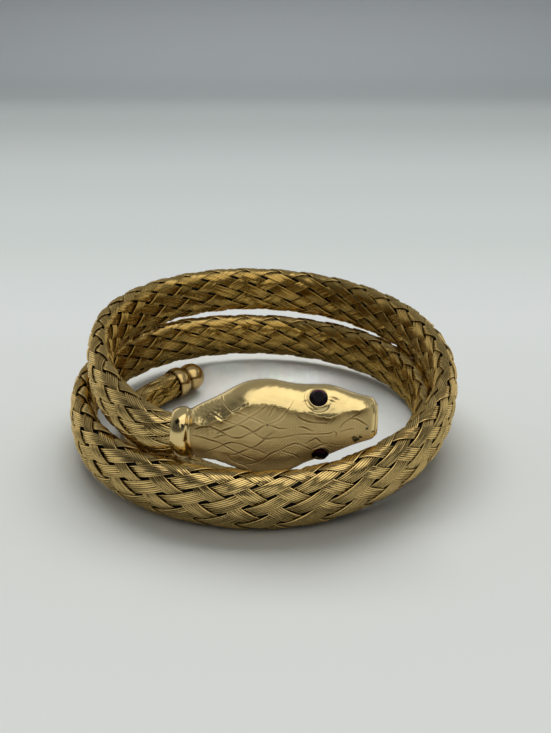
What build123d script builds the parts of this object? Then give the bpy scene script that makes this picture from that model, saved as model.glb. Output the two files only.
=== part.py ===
"""Snake bracelet: a woven wrap band with a cast head and a beaded tail, lying on its side."""
from build123d import *
from math import ceil, cos, hypot, radians, sin, sqrt
import os

# Where the coil's own centre stands, so that the object's box is centred on the origin
CENTRE_X = 0.06
CENTRE_Y = -0.18
FLOOR_RISE = 0.05

# Woven band, by turn angle clockwise from the front
BAND = [
    # turn, radius, height, width, thickness
    (25.0, 29.95, 12.1, 6.5, 3.85),
    (27.5, 30.60, 12.1, 6.7, 3.85),
    (30.5, 30.95, 12.2, 7.0, 4.2),
    (38, 30.8, 12.7, 7.5, 4.2),
    (46, 30.3, 13.2, 8.0, 4.2),
    (58, 29.7, 14.0, 8.6, 4.2),
    (70, 29.2, 14.5, 9.0, 4.2),
    (82, 29.1, 15.0, 9.2, 4.2),
    (95, 29.6, 15.3, 9.2, 4.2),
    (115, 30.9, 15.8, 9.2, 4.2),
    (140, 32.5, 16.1, 9.2, 4.2),
    (170, 34.1, 15.8, 9.2, 4.2),
    (200, 34.2, 14.8, 9.2, 4.2),
    (230, 33.1, 13.4, 9.2, 4.2),
    (260, 32.3, 11.6, 9.2, 4.2),
    (290, 32.6, 9.5, 9.2, 4.2),
    (320, 33.4, 6.8, 9.2, 4.2),
    (350, 33.8, 4.7, 9.2, 4.2),
    (380, 34.0, 4.8, 9.2, 4.2),
    (410, 33.7, 5.5, 9.2, 4.2),
    (440, 32.6, 6.4, 9.2, 4.2),
    (470, 32.5, 6.5, 9.2, 4.2),
    (500, 32.9, 6.3, 9.1, 4.2),
    (530, 32.1, 5.9, 8.9, 4.2),
    (560, 31.2, 5.5, 8.9, 4.2),
    (590, 30.4, 4.9, 8.6, 4.2),
    (620, 29.7, 3.9, 7.5, 4.2),
    (650, 29.1, 3.4, 6.6, 4.3),
    (685, 28.8, 3.1, 6.0, 4.5),
    (715, 28.5, 2.9, 5.7, 4.6),
    (735, 27.0, 2.8, 5.5, 4.7),
    (752, 25.0, 2.7, 5.3, 4.7),
    (770, 24.0, 2.6, 5.2, 4.7),
    (790, 23.9, 2.6, 5.1, 4.7),
    (805, 24.0, 2.6, 5.0, 4.7),
    (817, 23.5, 2.7, 5.0, 4.7),
    (829, 22.1, 2.85, 5.0, 4.7),
    (843, 21.2, 3.0, 5.0, 4.7),
]
BAND_STEP = 8.0

# Head, its axis along +X: width across the rise, depth outward and inward from its middle
HEAD_Y = -27.14
HEAD = [
    # station, middle, half width, outward, inward
    (-13.6, 12.10, 3.85, 2.65, 2.65),
    (-13.2, 12.10, 4.05, 2.88, 2.88),
    (-12.5, 12.10, 4.15, 3.00, 3.00),
    (-11.8, 12.12, 4.02, 2.85, 2.85),
    (-11.2, 12.20, 3.70, 2.42, 2.45),
    (-10.2, 12.40, 3.85, 2.45, 2.45),
    (-8.5, 12.70, 4.40, 2.65, 2.60),
    (-6.3, 13.05, 5.10, 2.95, 2.75),
    (-4.5, 13.19, 6.09, 3.15, 2.85),
    (-2.5, 13.32, 7.06, 3.30, 2.95),
    (0.0, 13.29, 7.58, 3.35, 3.00),
    (2.3, 13.28, 7.48, 3.30, 3.00),
    (4.2, 13.30, 6.90, 3.25, 2.95),
    (6.5, 13.68, 6.28, 3.15, 2.90),
    (8.4, 14.02, 5.96, 3.00, 2.80),
    (10.5, 14.38, 5.53, 2.80, 2.60),
    (12.5, 14.45, 4.63, 2.50, 2.35),
    (14.2, 14.48, 3.97, 2.25, 2.15),
    (15.6, 14.54, 3.56, 2.05, 1.95),
    (16.6, 14.53, 3.18, 1.80, 1.75),
    (17.2, 14.40, 2.40, 1.30, 1.30),
]
HEAD_STEP = 0.55
HEAD_SQUARENESS = 2.2
SNOUT_X = 17.3
SOCKET_X = -12.45
SOCKET_HALF = 3.50
SOCKET_REACH = 2.42

# Scaled field on the outward face: its edge as a share of the head's half width
FIELD = [
    # station, share
    (-13.6, 0.60),
    (-8.5, 0.70),
    (-6.0, 0.78),
    (0.0, 0.70),
    (5.5, 0.61),
    (8.4, 0.50),
    (12.5, 0.60),
    (15.5, 0.85),
    (17.2, 1.00),
]
FIELD_START = -10.6
FIELD_END = 16.2
SCALE_LENGTH = 5.2
SCALE_HEIGHT = 2.5
SCALE_RELIEF = 0.22
RIDGE_RELIEF = 0.30

# Eyes: station, rise as a share of the half width, and tilt up from straight outward
EYES = {
    "eye_upper": (8.3, 0.80, 49.0),
    "eye_lower": (8.7, -0.74, -41.0),
}
EYE_RADIUS = 1.35
EYE_TABLE = 0.85
EYE_CROWN = 0.50
EYE_PAVILION = 0.80
EYE_LIFT = 0.15
EYE_SIDES = 12
EYE_GAP = 0.05
RIM_WIDTH = 0.55
RIM_RELIEF = 0.25

# Tail cap, along the tail's own axis from its mouth
CAP_OVERLAP = 1.0
CAP_SOCKET_DEPTH = 1.1
CAP_SOCKET_RADIUS = 2.58
CAP_MOUTH_RADIUS = 2.80
BEAD_RADIUS = 3.0
BEAD_CENTRE = 1.5
WAIST = 3.15
BALL_RADIUS = 2.75
BALL_CENTRE = 4.75


def at(table, key):
    """Row of a table at a value of its first column, smooth from row to row."""
    last = len(table) - 1
    k = max([i for i in range(last) if table[i][0] <= key] or [0])
    before, a, b, after = table[max(k - 1, 0)], table[k], table[k + 1], table[min(k + 2, last)]
    span = b[0] - a[0]
    s = (key - a[0]) / span
    ease = s * s * (3 - 2 * s)
    row = []
    for c in range(1, len(a)):
        leave = (b[c] - before[c]) / (b[0] - before[0]) * span
        arrive = (after[c] - a[c]) / (after[0] - a[0]) * span
        row.append(a[c] * (1 - ease) + b[c] * ease + leave * s * (1 - s) ** 2 - arrive * s * s * (1 - s))
    return row


def band_point(turn):
    """Middle of the band at a turn angle."""
    radius, height, width, thickness = at(BAND, turn)
    angle = radians(turn)
    across, out = radius * sin(angle), radius * cos(angle)
    return Vector(CENTRE_X - across, CENTRE_Y - out, FLOOR_RISE + height)


def band_plane(turn):
    """Plane square to the band, its X running up the band's width."""
    tangent = (band_point(turn + 0.5) - band_point(turn - 0.5)).normalized()
    upward = Vector(0, 0, 1) - tangent * tangent.Z
    return Plane(band_point(turn), x_dir=upward, z_dir=tangent)


def oval(share, squareness):
    """Depth left at a share of the half width, as a share of the full depth."""
    return max(0.0, 1 - abs(share) ** squareness) ** (1 / squareness)


def relief(x, rise, half):
    """Height of the cast relief at a station and a rise from the head's middle."""
    share = abs(rise) / half
    edge = at(FIELD, x)[0]
    ends = max(0.0, min(1.0, (x - FIELD_START) / 0.8, (FIELD_END - x) / 0.8))
    forward = x / SCALE_LENGTH + rise / SCALE_HEIGHT
    backward = x / SCALE_LENGTH - rise / SCALE_HEIGHT
    groove = min(abs(forward - round(forward)), abs(backward - round(backward)))
    inside = max(0.0, min(1.0, (edge - share) / 0.08))
    scale = SCALE_RELIEF * min(1.0, groove / 0.16) * inside
    ridge = RIDGE_RELIEF * max(0.0, 1 - abs(share - edge) / 0.07) * min(1.0, (1 - edge) / 0.1)
    reach = min(hypot(x - eye_x, (rise - eye_share * half) * 1.25) for eye_x, eye_share, _ in EYES.values())
    rim = RIM_RELIEF * max(0.0, min(1.0, (EYE_RADIUS + RIM_WIDTH - reach) / 0.3))
    return max((scale + ridge) * ends, rim)


def head_point(x, y, height):
    """Point of the head, given from the coil's centre."""
    return Vector(CENTRE_X + x, CENTRE_Y + y, FLOOR_RISE + height)


def head_ring(x, shares):
    """Points round the head at a station, raised by the relief on its outward face."""
    middle, half, outward, inward = at(HEAD, x)
    ring = []
    for share, side in shares:
        depth = (outward if side > 0 else inward) * oval(share, HEAD_SQUARENESS)
        rise = share * half
        if side > 0 and abs(share) < 0.99:
            lift = relief(x, rise, half)
            across, along = depth / outward**2, rise / half**2
            size = hypot(across, along)
            depth += lift * across / size
            rise += lift * along / size
        ring.append(head_point(x, HEAD_Y - side * depth, middle + rise))
    return ring


def socket_ring(x, shares):
    """Points round the recess in the collar that takes the band's end."""
    middle = at(HEAD, x)[0]
    ring = []
    for share, side in shares:
        depth = SOCKET_REACH * oval(share, 2.5)
        ring.append(head_point(x, HEAD_Y - side * depth, middle + share * SOCKET_HALF))
    return ring


def closed_skin(rings, first, last):
    """Closed solid of flat triangles over rings of points, with a pole at each end."""
    corners = []
    count = len(rings[0])
    for i in range(count):
        j = (i + 1) % count
        corners.append((first, rings[0][j], rings[0][i]))
        corners.append((last, rings[-1][i], rings[-1][j]))
        for near, far in zip(rings, rings[1:]):
            corners.append((near[i], near[j], far[j]))
            corners.append((near[i], far[j], far[i]))
    return Solid(Shell([Face(Wire.make_polygon(three)) for three in corners]))


def eye_plane(name):
    """Girdle plane of an eye's stone, square to its axis."""
    eye_x, eye_share, tilt = EYES[name]
    middle, half, outward, inward = at(HEAD, eye_x)
    depth = outward * oval(eye_share, HEAD_SQUARENESS)
    axis = Vector(0, -cos(radians(tilt)), sin(radians(tilt)))
    seat = head_point(eye_x, HEAD_Y - depth, middle + eye_share * half)
    return Plane(seat + axis * EYE_LIFT, x_dir=(1, 0, 0), z_dir=axis)


os.makedirs("parts", exist_ok=True)

# Band: flattened sections square to the coil, straight from each to the next
first_turn, last_turn = BAND[0][0], BAND[-1][0]
spans = ceil((last_turn - first_turn) / BAND_STEP)
with BuildPart() as woven_band:
    for k in range(spans + 1):
        turn = first_turn + (last_turn - first_turn) * k / spans
        radius, height, width, thickness = at(BAND, turn)
        with BuildSketch(band_plane(turn)):
            SlotOverall(width, thickness)
    loft(ruled=True)
woven_band.part.label = "woven_band"
export_step(woven_band.part, "parts/woven_band.step")

# Head: closer points on the scaled outward face than on the plain inward side
shares = [(share, 1) for share in (-1.0, -0.97, -0.91)]
shares += [(k / 20, 1) for k in range(-17, 18)]
shares += [(share, 1) for share in (0.91, 0.97)]
shares += [(cos(radians(angle)), -1) for angle in range(0, 180, 13)]
neck_x, end_x = -10.9, 16.6
steps = ceil((end_x - neck_x) / HEAD_STEP)
stations = [-13.6, -13.2, -12.85, -12.5, -12.15, -11.8, -11.5, -11.2]
stations += [neck_x + (end_x - neck_x) * k / steps for k in range(steps + 1)] + [16.9, 17.2]
rings = [socket_ring(SOCKET_X, shares), socket_ring(stations[0], shares)]
rings += [head_ring(x, shares) for x in stations]
floor_middle = head_point(SOCKET_X, HEAD_Y, at(HEAD, SOCKET_X)[0])
snout = head_point(SNOUT_X, HEAD_Y, at(HEAD, stations[-1])[0])
with BuildPart() as snake_head:
    add(closed_skin(rings, floor_middle, snout))
    for name in EYES:
        with BuildSketch(eye_plane(name).offset(-EYE_PAVILION - 0.1)):
            Circle(EYE_RADIUS + EYE_GAP)
        extrude(amount=3.0, mode=Mode.SUBTRACT)
snake_head.part.label = "snake_head"
export_step(snake_head.part, "parts/snake_head.step")

# Eyes: round stones with a table and a ring of facets above and below the girdle
for name in EYES:
    with BuildPart() as eye:
        with BuildSketch(eye_plane(name).offset(-EYE_PAVILION)):
            RegularPolygon(EYE_RADIUS - EYE_PAVILION, EYE_SIDES)
        with BuildSketch(eye_plane(name)):
            RegularPolygon(EYE_RADIUS, EYE_SIDES)
        with BuildSketch(eye_plane(name).offset(EYE_CROWN)):
            RegularPolygon(EYE_TABLE, EYE_SIDES)
        loft(ruled=True)
    eye.part.label = name
    export_step(eye.part, f"parts/{name}.step")

# Tail cap: bead and ball turned in one piece about the tail's axis, hollow where the band enters
tail = band_plane(last_turn)
mouth = tail.origin - tail.z_dir * CAP_OVERLAP
waist_radius = sqrt(BALL_RADIUS**2 - (BALL_CENTRE - WAIST) ** 2)
with BuildPart() as tail_cap:
    with BuildSketch(Plane(mouth, x_dir=tail.x_dir, z_dir=-tail.y_dir)):
        with BuildLine():
            Polyline(
                (0, BALL_CENTRE + BALL_RADIUS),
                (0, CAP_SOCKET_DEPTH),
                (CAP_SOCKET_RADIUS, CAP_SOCKET_DEPTH),
                (CAP_SOCKET_RADIUS, 0),
                (CAP_MOUTH_RADIUS, 0),
            )
            ThreePointArc((CAP_MOUTH_RADIUS, 0), (BEAD_RADIUS, BEAD_CENTRE), (waist_radius, WAIST))
            ThreePointArc((waist_radius, WAIST), (BALL_RADIUS, BALL_CENTRE), (0, BALL_CENTRE + BALL_RADIUS))
        make_face()
    revolve(axis=Axis(mouth, tail.z_dir))
tail_cap.part.label = "tail_cap"
export_step(tail_cap.part, "parts/tail_cap.step")
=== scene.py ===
"""Snake wrap bracelet: woven band, cast head, faceted eyes and beaded tail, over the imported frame."""

from math import cos, radians, sin

import bpy
import numpy as np
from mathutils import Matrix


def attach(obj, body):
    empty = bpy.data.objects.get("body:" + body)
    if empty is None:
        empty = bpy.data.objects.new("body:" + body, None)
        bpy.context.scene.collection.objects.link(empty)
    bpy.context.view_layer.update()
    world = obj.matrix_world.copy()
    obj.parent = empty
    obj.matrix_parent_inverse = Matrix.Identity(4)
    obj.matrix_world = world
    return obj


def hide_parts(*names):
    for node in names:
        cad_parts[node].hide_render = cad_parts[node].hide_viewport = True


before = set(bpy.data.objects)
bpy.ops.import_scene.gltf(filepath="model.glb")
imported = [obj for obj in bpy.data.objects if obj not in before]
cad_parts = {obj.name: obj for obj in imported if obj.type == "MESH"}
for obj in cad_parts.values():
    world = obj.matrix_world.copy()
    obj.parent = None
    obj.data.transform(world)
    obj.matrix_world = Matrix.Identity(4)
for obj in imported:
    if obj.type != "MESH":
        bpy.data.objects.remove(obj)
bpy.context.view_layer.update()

# Camera and room

# The bracelet lies on a pale table that sweeps up into a grey wall, seen from a little
# above. A wide soft light behind and above it lights the table, and a narrow one the
# floor of the coil, as its bright inside would; the gold shows a ceiling and two walls.
CAMERA_PLACE = (0.00213, -0.13158, 0.06702)
CAMERA_TILT = 67.1
CAMERA_LENS = 38.31
CAMERA_NEAREST = 0.005
LIGHTS = [
    # name, spot, aim, size, power, tint, spread in degrees, the kind of ray that misses it
    ("window", (0.0, 0.54, 0.76), (0, 0, 0), (0.95, 0.42), 6.8, (1.0, 0.99, 0.97), 180, "glossy"),
    ("beam", (0.001, 0.019, 0.60), (0.001, 0.019, 0), (0.03, 0.03), 0.0018, (1, 0.98, 0.92), 3.4, "glossy"),
    ("ceiling", (0.22, -0.46, 0.66), (0, 0, 0.01), (1.35, 0.98), 4.6, (1.0, 0.99, 0.94), 180, "diffuse"),
    ("left_wall", (-0.72, 0.62, 0.27), (0, 0, 0.01), (1.0, 0.52), 0.9, (1.0, 0.99, 0.95), 180, "diffuse"),
    ("right_wall", (0.72, 0.62, 0.27), (0, 0, 0.01), (1.0, 0.52), 0.9, (1.0, 0.99, 0.95), 180, "diffuse"),
]
# The ceiling glows overhead within its edge, and the walls behind are lighter than the room in front
CEILING_EDGE = 38
CEILING_BLUR = 10
CEILING_GLOW = 0.33
WALL_GLOW = 0.32
FRONT_GLOW = 0.08
FRONT_EDGE = -0.6
WALL_EDGE = 0.2
ROOM_TINT = (0.97, 1.0, 0.99, 1)
# The table in millimetres: flat from its front edge, then an arc up into the wall
TABLE_LEVEL = -0.12
TABLE_FRONT = -1200
TABLE_HALF_WIDTH = 1600
SWEEP_START = 850
SWEEP_RADIUS = 500
SWEEP_ANGLE = 80
TABLE_LOOK = {"Roughness": 0.75, "Specular IOR Level": 0.2}
# Painted light on the table by how far back it is: lightest in front and darker behind, as the light
# falls off, up to the grey of the wall, and lighter again at its top
TABLE_PAINTED_LIGHT = [
    # metres behind the middle, colour
    (-0.10, (0.93, 0.95, 0.94, 1)),
    (-0.03, (0.83, 0.85, 0.83, 1)),
    (0.02, (0.80, 0.83, 0.82, 1)),
    (0.07, (0.76, 0.79, 0.79, 1)),
    (0.13, (0.65, 0.69, 0.68, 1)),
    (0.22, (0.56, 0.60, 0.595, 1)),
    (0.34, (0.475, 0.51, 0.51, 1)),
    (0.50, (0.395, 0.425, 0.425, 1)),
    (0.65, (0.41, 0.443, 0.443, 1)),
    (0.88, (0.455, 0.488, 0.50, 1)),
    (0.98, (0.555, 0.60, 0.62, 1)),
    (1.14, (0.75, 0.79, 0.84, 1)),
]

scene = bpy.context.scene
camera = bpy.data.objects.new("camera", bpy.data.cameras.new("camera"))
scene.collection.objects.link(camera)
camera.location = CAMERA_PLACE
camera.rotation_euler = (radians(CAMERA_TILT), 0, 0)
camera.data.lens = CAMERA_LENS
camera.data.clip_start = CAMERA_NEAREST
scene.camera = camera
scene.view_settings.view_transform = "Standard"


def grid_mesh(name, points, wrap_columns=False, close_ends=False):
    """Mesh over a grid of points, rows by columns by 3 in millimetres. Wrapping joins the last column
    to the first, and closing covers the first and last rows with a face each."""
    rows, columns = points.shape[:2]
    number = np.arange(rows * columns).reshape(rows, columns)
    ends = [number[0, ::-1], number[-1]] if close_ends else []
    if wrap_columns:
        number = np.concatenate([number, number[:, :1]], axis=1)
    corners = [number[:-1, :-1], number[:-1, 1:], number[1:, 1:], number[1:, :-1]]
    quads = np.stack(corners, axis=-1).reshape(-1)
    loops = np.concatenate([quads, *ends])
    starts = np.concatenate([np.arange(0, quads.size, 4), quads.size + columns * np.arange(len(ends))])
    mesh = bpy.data.meshes.new(name)
    mesh.vertices.add(rows * columns)
    mesh.vertices.foreach_set("co", (points * 0.001).reshape(-1).astype(np.float32))
    mesh.loops.add(loops.size)
    mesh.loops.foreach_set("vertex_index", loops.astype(np.int32))
    mesh.polygons.add(len(starts))
    mesh.polygons.foreach_set("loop_start", starts.astype(np.int32))
    mesh.update(calc_edges=True)
    mesh.shade_smooth()
    return mesh


def place(name, mesh, material):
    """Object at the origin that shows a mesh in one material."""
    mesh.materials.append(material)
    piece = bpy.data.objects.new(name, mesh)
    scene.collection.objects.link(piece)
    return piece


def feed(tree, node, inputs):
    """Each input of a node gets its value, or a link from the output that is given for it."""
    for socket, value in inputs.items():
        if isinstance(value, bpy.types.NodeSocket):
            tree.links.new(value, node.inputs[socket])
        else:
            node.inputs[socket].default_value = value


def add_node(tree, kind, inputs=(), **settings):
    """New node of a kind, with its settings and then its inputs."""
    node = tree.nodes.new(kind)
    for setting, value in settings.items():
        setattr(node, setting, value)
    feed(tree, node, dict(inputs))
    return node


def map_range(tree, value, start, end, low=0.0, high=1.0, kind="LINEAR"):
    """Output that goes from low to high as a value goes from the start to the end."""
    inputs = {"Value": value, "From Min": start, "From Max": end, "To Min": low, "To Max": high}
    return add_node(tree, "ShaderNodeMapRange", inputs, interpolation_type=kind).outputs["Result"]


def new_material(name):
    """New node material, with its tree and its Principled shader."""
    material = bpy.data.materials.new(name)
    material.use_nodes = True
    tree = material.node_tree
    return material, tree, tree.nodes["Principled BSDF"]


def object_place(tree):
    """Output with a point's place in its object."""
    return add_node(tree, "ShaderNodeTexCoord").outputs["Object"]


table_top, tree, shader = new_material("pale_table")
nearest, farthest = TABLE_PAINTED_LIGHT[0][0], TABLE_PAINTED_LIGHT[-1][0]
parts = add_node(tree, "ShaderNodeSeparateXYZ", {"Vector": object_place(tree)})
how_far = map_range(tree, parts.outputs["Y"], nearest, farthest)
tone = add_node(tree, "ShaderNodeValToRGB", {"Fac": how_far})
ramp = tone.color_ramp
ramp.interpolation = "CARDINAL"
# The ramp keeps a mark of its own at its end, so the table's last tone stands just before it
for stop, (far, colour) in enumerate(TABLE_PAINTED_LIGHT):
    share = min((far - nearest) / (farthest - nearest), 0.999)
    mark = ramp.elements[0] if stop == 0 else ramp.elements.new(share)
    mark.position, mark.color = share, colour
ramp.elements[-1].color = TABLE_PAINTED_LIGHT[-1][1]
feed(tree, shader, {"Base Color": tone.outputs["Color"], **TABLE_LOOK})

sweep_turn = np.radians(np.linspace(0, SWEEP_ANGLE, 33))
flat_along = np.linspace(TABLE_FRONT, SWEEP_START, 41)[:-1]
sweep_along = np.concatenate([flat_along, SWEEP_START + SWEEP_RADIUS * np.sin(sweep_turn)])
sweep_rise = np.concatenate([0 * flat_along, SWEEP_RADIUS * (1 - np.cos(sweep_turn))])
across, along = np.meshgrid(np.linspace(TABLE_HALF_WIDTH, -TABLE_HALF_WIDTH, 9), sweep_along)
table_points = np.stack([across, along, TABLE_LEVEL + sweep_rise[:, None] + 0 * across], axis=-1)
table_piece = place("table_top", grid_mesh("table_top", table_points), table_top)

# Each light is a soft rectangle, tipped from straight down and turned until it faces its aim
for name, spot, aim, size, power, tint, spread, missed_by in LIGHTS:
    lamp = bpy.data.lights.new(name, "AREA")
    lamp.shape = "RECTANGLE"
    lamp.size, lamp.size_y = size
    lamp.energy = power
    lamp.color = tint
    lamp.spread = radians(spread)
    holder = bpy.data.objects.new(name, lamp)
    scene.collection.objects.link(holder)
    holder.location = spot
    across, along, up = np.subtract(aim, spot)
    holder.rotation_euler = (np.arctan2(np.hypot(across, along), -up), 0, np.arctan2(-across, along))
    holder.visible_glossy = missed_by != "glossy"
    holder.visible_diffuse = missed_by != "diffuse"

room = bpy.data.worlds.new("room")
room.use_nodes = True
sky = room.node_tree
toward = add_node(sky, "ShaderNodeTexCoord").outputs["Generated"]
direction = add_node(sky, "ShaderNodeSeparateXYZ", {"Vector": toward}).outputs
walls = map_range(sky, direction["Y"], FRONT_EDGE, WALL_EDGE, FRONT_GLOW, WALL_GLOW, "SMOOTHSTEP")
blurred = [cos(radians(CEILING_EDGE + blur)) for blur in (CEILING_BLUR, -CEILING_BLUR)]
overhead = map_range(sky, direction["Z"], *blurred, walls, CEILING_GLOW, "SMOOTHSTEP")
feed(sky, sky.nodes["Background"], {"Color": ROOM_TINT, "Strength": overhead})
scene.world = room

# Woven band

# A flattened tube plaited over and under from fourteen flat ribbons, seven each way
# round, each of seven fine gold-plated wires side by side. Its ends go into the
# collar and the tail cap, and the springy inside is dark behind the small gaps.
CENTRE = (0.06, -0.18, 0.05)
BAND = [
    # turn, radius, height, width, thickness
    (25.0, 29.95, 12.1, 6.5, 3.85),
    (27.5, 30.60, 12.1, 6.7, 3.85),
    (30.5, 30.95, 12.2, 7.0, 4.2),
    (38, 30.8, 12.7, 7.5, 4.2),
    (46, 30.3, 13.2, 8.0, 4.2),
    (58, 29.7, 14.0, 8.6, 4.2),
    (70, 29.2, 14.5, 9.0, 4.2),
    (82, 29.1, 15.0, 9.2, 4.2),
    (95, 29.6, 15.3, 9.2, 4.2),
    (115, 30.9, 15.8, 9.2, 4.2),
    (140, 32.5, 16.1, 9.2, 4.2),
    (170, 34.1, 15.8, 9.2, 4.2),
    (200, 34.2, 14.8, 9.2, 4.2),
    (230, 33.1, 13.4, 9.2, 4.2),
    (260, 32.3, 11.6, 9.2, 4.2),
    (290, 32.6, 9.5, 9.2, 4.2),
    (320, 33.4, 6.8, 9.2, 4.2),
    (350, 33.8, 4.7, 9.2, 4.2),
    (380, 34.0, 4.8, 9.2, 4.2),
    (410, 33.7, 5.5, 9.2, 4.2),
    (440, 32.6, 6.4, 9.2, 4.2),
    (470, 32.5, 6.5, 9.2, 4.2),
    (500, 32.9, 6.3, 9.1, 4.2),
    (530, 32.1, 5.9, 8.9, 4.2),
    (560, 31.2, 5.5, 8.9, 4.2),
    (590, 30.5, 5.1, 8.9, 4.2),
    (620, 29.9, 4.3, 8.2, 4.2),
    (650, 29.15, 3.5, 6.8, 4.3),
    (685, 28.8, 3.1, 6.0, 4.5),
    (715, 28.5, 2.9, 5.7, 4.6),
    (735, 27.0, 2.8, 5.5, 4.7),
    (752, 25.0, 2.7, 5.3, 4.7),
    (770, 24.0, 2.6, 5.2, 4.7),
    (790, 23.9, 2.6, 5.1, 4.7),
    (805, 24.0, 2.6, 5.0, 4.7),
    (817, 23.5, 2.7, 5.0, 4.7),
    (829, 22.1, 2.85, 5.0, 4.7),
    (843, 21.2, 3.0, 5.0, 4.7),
]
# Crossings counted along the band, at turns where the picture shows one
CROSSINGS = [
    # turn, count
    (25.0, -7.9),
    (29.8, -7.5),
    (70, -4.2),
    (122.7, 0),
    (215.9, 8),
    (290, 14.7),
    (353.6, 20.5),
    (373.5, 22.5),
    (420, 26.6),
    (470.5, 31),
    (553.1, 38),
    (650, 46.0),
    (752, 54.0),
    (843, 60.0),
]
RIBBONS = 7
WIRES = 7
WEAVE_SEED = 11
RIBBON_WIDTH = 2.10
RIBBON_SHARE = 0.90
RIBBON_DEPTH = 0.22
# Share of a crossing that the band's top edge is ahead of its middle, and its bottom edge behind
LEAN = 0.29
LEAN_PASSES = 3
# Level of the ribbons under the tube's skin, how far they sink and rise, and how flat they run between
WEAVE_LEVEL = -0.24
WEAVE_WAVE = 0.21
WEAVE_FLATNESS = 1.5
# Wires: height of their ridges and its unevenness, drop at a ribbon's edges, and how they stray, at
# rates in radians a crossing
WIRE_RIDGE = 0.115
WIRE_UNEVEN = 0.35
UNEVEN_RATE = 1.7
EDGE_DROP = 1.6
WIRE_WANDER = 0.030
WANDER_RATES = (1.1, 2.3, 4.1)
# A ribbon's width changes along it, and from one to the next
WIDTH_WANDER = 0.07
WIDTH_RATE = 1.45
WIDTH_STEP = 2.1
UNDERSIDE_HALF = 0.48
STEPS_PER_CROSSING = 14
# Brightness of a wire: its mean, and what the ribbon's level, the wire's ridge and the wire itself add.
# The level and the ridge are painted light: painted shade where a ribbon dips under and in its furrows,
# painted highlight where it rises over and on its ridges
BRIGHT_MEAN = 0.50
PAINTED_LIGHT_BY_LEVEL = 0.26
PAINTED_LIGHT_BY_RIDGE = 0.95
WIRE_CONTRAST = 0.10
# Slow change along a wire, in radians a crossing
SLOW_RATE = 0.9
# Painted shade on the tube's inward side, less of it about the turn where that side is lit, and clouds
# of wear on the plating
INWARD_PAINTED_SHADE = 0.72
INWARD_SHADE_GAIN = 1.4
INWARD_SHADE_START = 0.1
WEAR_MEAN = 0.10
LIT_SHARE = 0.55
LIT_TURN = 275
LIT_REACH = 40
# Bright gold, and the near black of the painted shade in the furrows and dips
GOLD_BRIGHT = (0.98, 0.71, 0.29, 1)
GOLD_PAINTED_SHADE = (0.05, 0.026, 0.006, 1)
GOLD_SHEEN = (1.0, 0.9, 0.7, 1)
SHADE_AND_WEAR_TINT = (0.60, 0.50, 0.23, 1)
# Wear clouds of all the gold: their detail, and how much they shift the brightness
CLOUD_LOOK = {"Detail": 7, "Roughness": 0.62}
CLOUD_SHIFT = 0.35
# Steps that the band's tables are worked out at; aspects are the first, the last and their count
TURN_STEP = 0.25
GIRTH_STEPS = 720
ASPECTS = (0.40, 1.0, 25)


def smooth_rows(rows, key):
    """Columns of a table at an array of keys: a cubic between rows, whose slope at a row is that of
    the line through both neighbours."""
    rows = np.asarray(rows, float)
    last = len(rows) - 1
    k = np.clip(np.searchsorted(rows[:, 0], key, side="right") - 1, 0, last - 1)
    before, a, b, after = rows[np.maximum(k - 1, 0)], rows[k], rows[k + 1], rows[np.minimum(k + 2, last)]
    span = (b - a)[..., :1]
    s = (np.asarray(key)[..., None] - a[..., :1]) / span
    weight = s * s * (3 - 2 * s)
    leave = (b - before) / (b - before)[..., :1] * span
    arrive = (after - a) / (after - a)[..., :1] * span
    values = a * (1 - weight) + b * weight + leave * s * (1 - s) ** 2 - arrive * s * s * (1 - s)
    return np.moveaxis(values[..., 1:], -1, 0)


def bell(value, middle, width, power=2):
    """1 at the middle and less on both sides: e to the minus |distance / width| to a power."""
    return np.exp(-(((value - middle) / width) ** power))


def signed_power(value, power):
    """Power of the size of a value, with the value's sign."""
    return np.sign(value) * np.abs(value) ** power


def girth_outline(angle, squareness, half_width, half_thickness):
    """Rounded oval |up / half width|^n + |out / half thickness|^n = 1: its out, its up, and its unit
    normal's out and up."""
    c, s = np.cos(angle), np.sin(angle)
    out = half_thickness * signed_power(c, 2 / squareness)
    up = half_width * signed_power(s, 2 / squareness)
    normal_out = signed_power(c, 2 - 2 / squareness) / half_thickness
    normal_up = signed_power(s, 2 - 2 / squareness) / half_width
    size = np.hypot(normal_out, normal_up)
    return out, up, normal_out / size, normal_up / size


def band_squareness(aspect):
    """Power of the band's outline, by thickness over width: 2.5 when flat, down to 2 when round."""
    return 2 + 0.5 * np.clip((1 - aspect) / 0.5, 0, 1)


def band_middle(turn):
    """Middle of the band: a circle's point at the turn, clockwise from the front, with the table's
    radius and height."""
    radius, height = smooth_rows(BAND, turn)[:2]
    angle = np.radians(turn)
    x, y = CENTRE[0] - radius * np.sin(angle), CENTRE[1] - radius * np.cos(angle)
    return np.stack([x, y, CENTRE[2] + height], axis=-1)


# Band's middle line, its directions and its measures at close turns, to read between
turns = np.arange(BAND[0][0], BAND[-1][0] + 0.01, TURN_STEP)
middles = band_middle(turns)
tangents = band_middle(turns + 2 * TURN_STEP) - band_middle(turns - 2 * TURN_STEP)
tangents /= np.linalg.norm(tangents, axis=1, keepdims=True)
upwards = np.array([0, 0, 1.0]) - tangents * tangents[:, 2:]
upwards /= np.linalg.norm(upwards, axis=1, keepdims=True)
outwards = np.cross(upwards, tangents)
half_widths, half_thicknesses = smooth_rows(BAND, turns)[2:] / 2
lengths = np.concatenate([[0], np.cumsum(np.linalg.norm(np.diff(middles, axis=0), axis=1))])
counts = smooth_rows(CROSSINGS, turns)[0]
pitches = np.gradient(lengths) / np.gradient(counts)
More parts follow.
